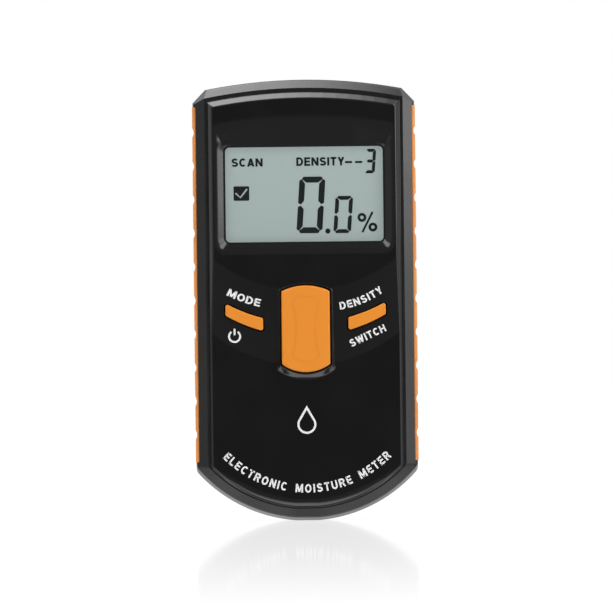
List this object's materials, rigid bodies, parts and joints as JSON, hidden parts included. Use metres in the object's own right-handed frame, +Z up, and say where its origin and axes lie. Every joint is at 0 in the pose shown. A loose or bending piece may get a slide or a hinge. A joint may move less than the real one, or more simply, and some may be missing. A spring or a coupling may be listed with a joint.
{
  "type": "moisture meter",
  "caption": "Handheld pinless moisture meter: black case with orange side grips, LCD window, large measure button, side keys, back sensor plate and sliding battery door.",
  "frame": {"origin": "under the lowest point of the case, midway through its width and depth", "axes": "+Z up along the case, -Y out of the display face, +X right seen from the front"},
  "size_m": [0.0708, 0.03, 0.14],
  "materials": {
    "case_black": "satin moulded ABS, fine grain",
    "face_black": "polished black ABS",
    "grip_orange": "matte soft-touch elastomer",
    "button_orange": "satin moulded cap",
    "window_clear": "clear acrylic",
    "gasket_black": "matte",
    "lcd_grey": "reflective display glass",
    "frame_white": "moulded",
    "elastomer_grey": "striped silicone",
    "diffuser_white": "frosted acrylic",
    "led_white": "moulded lens",
    "board_green": "solder mask on glass laminate",
    "chip_black": "moulded epoxy",
    "can_steel": "drawn can",
    "capacitor_sleeve": "shrink sleeve",
    "screw_steel": "zinc plated",
    "battery_jacket": "printed steel jacket, plain",
    "snap_black": "moulded",
    "lead_red": "vinyl insulation",
    "lead_black": "vinyl insulation",
    "foam_black": "closed-cell foam",
    "sensor_black": "smooth ABS, light wear",
    "electrode_copper": "plated copper sheet",
    "pin_brass": "gold flashed",
    "switch_black": "moulded nylon",
    "plunger_white": "moulded"
  },
  "bodies": {
    "case": {"front_shell": "case_black", "rear_shell": "case_black", "face_plate": "face_black", "left_grip": "grip_orange", "right_grip": "grip_orange", "display_window": "window_clear", "window_gasket": "gasket_black", "lcd_glass": "lcd_grey", "lcd_frame": "frame_white", "lcd_connector": "elastomer_grey", "backlight_diffuser": "diffuser_white", "backlight_leds": "led_white", "main_board": "board_green", "microcontroller": "chip_black", "crystal": "can_steel", "capacitor": "capacitor_sleeve", "buzzer": "chip_black", "board_screws": "screw_steel", "case_screws": "screw_steel", "battery": "battery_jacket", "battery_snap": "snap_black", "battery_lead_red": "lead_red", "battery_lead_black": "lead_black", "battery_pad": "foam_black", "sensor_cover": "sensor_black", "sensor_electrodes": "electrode_copper", "sensor_board": "board_green", "sensor_foam": "foam_black", "sensor_pins": "pin_brass", "pin_header": "snap_black", "measure_switch": "switch_black", "mode_switch": "switch_black", "density_switch": "switch_black"},
    "measure_button": {"measure_button": "button_orange", "measure_plunger": "plunger_white"},
    "mode_key": {"mode_key": "button_orange", "mode_plunger": "plunger_white"},
    "density_key": {"density_key": "button_orange", "density_plunger": "plunger_white"},
    "battery_door": {"battery_door": "case_black"}
  },
  "joints": [
    {"name": "measure_button_press", "type": "slide", "parent": "case", "child": "measure_button", "axis": [0, 1, 0], "range_m": [0, 0.0005], "stiffness_N_per_m": 150},
    {"name": "mode_key_press", "type": "slide", "parent": "case", "child": "mode_key", "axis": [0, 1, 0], "range_m": [0, 0.0005], "stiffness_N_per_m": 40},
    {"name": "density_key_press", "type": "slide", "parent": "case", "child": "density_key", "axis": [0, 1, 0], "range_m": [0, 0.0005], "stiffness_N_per_m": 40},
    {"name": "battery_door_slide", "type": "slide", "parent": "case", "child": "battery_door", "axis": [0, 0, -1], "range_m": [0, 0.042]}
  ]
}
